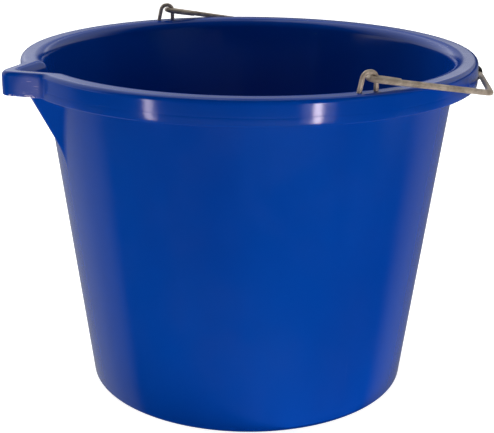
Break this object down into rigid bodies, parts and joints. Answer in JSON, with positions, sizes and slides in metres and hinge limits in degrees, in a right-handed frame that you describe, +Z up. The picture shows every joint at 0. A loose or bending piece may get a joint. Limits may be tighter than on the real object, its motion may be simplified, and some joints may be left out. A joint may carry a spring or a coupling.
{
  "type": "feed bucket",
  "caption": "Round tapered stable bucket in moulded plastic with a banded rim, a V-shaped pouring lip and a swinging wire bail with a turning grip.",
  "frame": {"origin": "centre of the base, on the surface the bucket stands on", "axes": "+Z up, -X towards the pouring lip, +X towards the side on which the bail lies down, +Y along the bail's hinge axis towards the far eye"},
  "size_m": [0.3708, 0.3356, 0.2661],
  "materials": {
    "blue_plastic": "semi-gloss injection-moulded plastic, lightly scuffed",
    "galvanised_wire": "dull galvanised steel wire",
    "black_plastic": "satin moulded plastic"
  },
  "bodies": {
    "bucket": {"bucket_shell": "blue_plastic", "near_eye": "galvanised_wire", "far_eye": "galvanised_wire"},
    "bail": {"bail_wire": "galvanised_wire"},
    "grip": {"bail_grip": "black_plastic"}
  },
  "joints": [
    {"name": "bail_swing", "type": "hinge", "parent": "bucket", "child": "bail", "pos_m": [0.00278, 0, 0.26028], "axis": [0, -1, 0], "range_deg": [0, 190.5]},
    {"name": "grip_spin", "type": "hinge", "parent": "bail", "child": "grip", "pos_m": [0.17681, 0, 0.22802], "axis": [0, 1, 0], "continuous": true}
  ]
}
